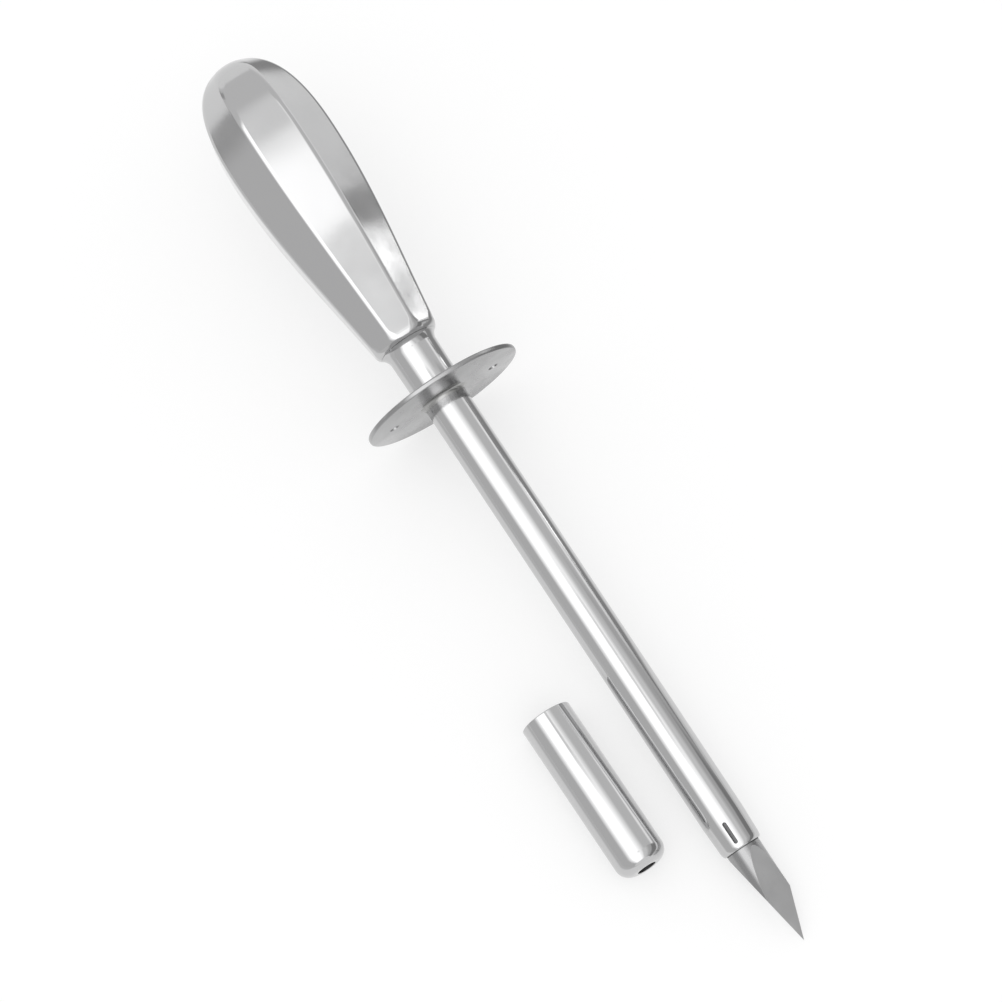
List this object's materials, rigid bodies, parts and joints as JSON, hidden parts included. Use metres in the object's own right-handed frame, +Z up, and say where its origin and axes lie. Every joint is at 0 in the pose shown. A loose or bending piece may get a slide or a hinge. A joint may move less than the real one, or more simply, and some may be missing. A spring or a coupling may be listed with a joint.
{
  "type": "trocar and cannula",
  "caption": "Trocar with a hollow octagonal steel handle and a three-sided point, seated in a flanged cannula, with its protective cap taken off and lying beside it.",
  "frame": {"origin": "on the table, under the middle of the whole", "axes": "+X runs the way the point lies, +Z up; the cap lies on the -Y side"},
  "size_m": [0.2902, 0.0562, 0.0506],
  "materials": {
    "polished_tube": "mirror-polished stainless steel",
    "satin_plate": "satin stainless steel, finely brushed",
    "silver_braze": "polished silver braze",
    "polished_neck": "mirror-polished stainless steel",
    "polished_handle": "mirror-polished stainless steel with softened facets",
    "turned_steel": "turned steel, out of sight",
    "ground_steel": "finely ground stainless steel",
    "polished_cap": "mirror-polished stainless steel"
  },
  "bodies": {
    "cannula": {"cannula_tube": "polished_tube", "flange_plate": "satin_plate", "flange_braze_fillet": "silver_braze"},
    "neck": {"neck_ferrule": "polished_neck"},
    "trocar": {"trocar_rod": "ground_steel", "handle_shell_upper": "polished_handle", "handle_shell_lower": "polished_handle", "handle_mouth_plug": "turned_steel", "rod_tail_disc": "turned_steel"},
    "cap": {"protective_cap": "polished_cap"}
  },
  "joints": [
    {"name": "trocar_withdraw", "type": "slide", "parent": "cannula", "child": "neck", "axis": [-0.9931, 0, 0.1172], "range_m": [0, 0.185]},
    {"name": "trocar_turn", "type": "hinge", "parent": "neck", "child": "trocar", "pos_m": [-0.04176, 0.0041, 0.02496], "axis": [0.9931, 0, -0.1172], "continuous": true},
    {"name": "cap_draw_off", "type": "slide", "parent": "cannula", "child": "cap", "axis": [1, 0, 0], "range_m": [0, 0.095]}
  ]
}
